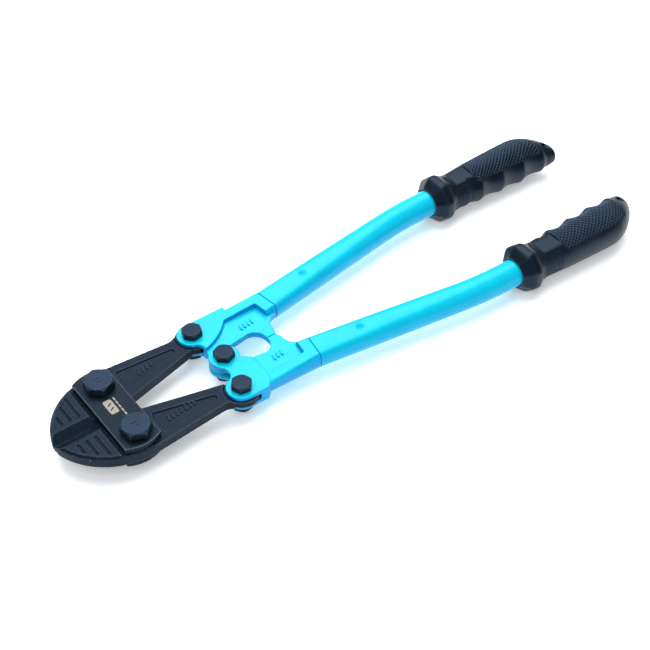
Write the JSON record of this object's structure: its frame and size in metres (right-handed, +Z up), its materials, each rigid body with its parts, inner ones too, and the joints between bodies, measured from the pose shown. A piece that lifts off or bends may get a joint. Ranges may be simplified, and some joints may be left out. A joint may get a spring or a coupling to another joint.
{
  "type": "bolt cutters",
  "caption": "Long-handled bolt cutters with hinged forged jaws, strap plates, linked handle heads, tube handles and rubber grips, lying closed.",
  "frame": {"origin": "bottom centre of the closed tool's bounding box, on the ground it lies on", "axes": "+X along the tool from the cutting jaws to the grips, +Y towards the left handle, +Z up, square to the flat of the jaws"},
  "size_m": [0.4612, 0.1308, 0.0347],
  "materials": {
    "jaw_steel": "satin black oxide on forged tool steel",
    "strap_steel": "satin black oxide on blanked plate",
    "jaw_bolt_steel": "satin black oxide",
    "bolt_steel": "satin black oxide",
    "head_paint": "gloss sky-blue powder coat on forged steel",
    "tube_paint": "gloss sky-blue powder coat on steel tube",
    "grip_rubber": "moulded matt rubber",
    "plug_plastic": "matt"
  },
  "bodies": {
    "strap_frame": {"top_strap": "strap_steel", "bottom_strap": "strap_steel", "jaw_bolt_left": "jaw_bolt_steel", "jaw_bolt_right": "jaw_bolt_steel"},
    "left_jaw": {"jaw_left": "jaw_steel"},
    "right_jaw": {"jaw_right": "jaw_steel"},
    "left_handle": {"head_left": "head_paint", "tube_left": "tube_paint", "grip_left": "grip_rubber", "tube_plug_left": "plug_plastic", "handle_bolt_left": "bolt_steel", "handle_nut_left": "bolt_steel", "spring_washer_left": "bolt_steel"},
    "right_handle": {"head_right": "head_paint", "tube_right": "tube_paint", "grip_right": "grip_rubber", "tube_plug_right": "plug_plastic", "handle_bolt_right": "bolt_steel", "handle_nut_right": "bolt_steel", "spring_washer_right": "bolt_steel", "centre_bolt": "bolt_steel", "centre_nut": "bolt_steel", "centre_washer": "bolt_steel"}
  },
  "joints": [
    {"name": "left_jaw_pivot", "type": "hinge", "parent": "strap_frame", "child": "left_jaw", "pos_m": [-0.18375, 0.0233, 0.01737], "axis": [0, 0, 1], "range_deg": [-6.42, 0]},
    {"name": "left_handle_pivot", "type": "hinge", "parent": "left_jaw", "child": "left_handle", "pos_m": [-0.10875, 0.0299, 0.01737], "axis": [0, 0, 1], "range_deg": [0, 42.4]},
    {"name": "right_jaw_pivot", "type": "hinge", "parent": "strap_frame", "child": "right_jaw", "pos_m": [-0.18375, -0.0233, 0.01737], "axis": [0, 0, 1], "range_deg": [0, 6.42]},
    {"name": "right_handle_pivot", "type": "hinge", "parent": "right_jaw", "child": "right_handle", "pos_m": [-0.10875, -0.0299, 0.01737], "axis": [0, 0, 1], "range_deg": [-42.42, 0]}
  ],
  "couplings": [
    {"joint": "left_jaw_pivot", "follows": "left_handle_pivot", "ratio": -0.1511},
    {"joint": "right_jaw_pivot", "follows": "left_handle_pivot", "ratio": 0.1511},
    {"joint": "right_handle_pivot", "follows": "left_handle_pivot", "ratio": -1}
  ]
}
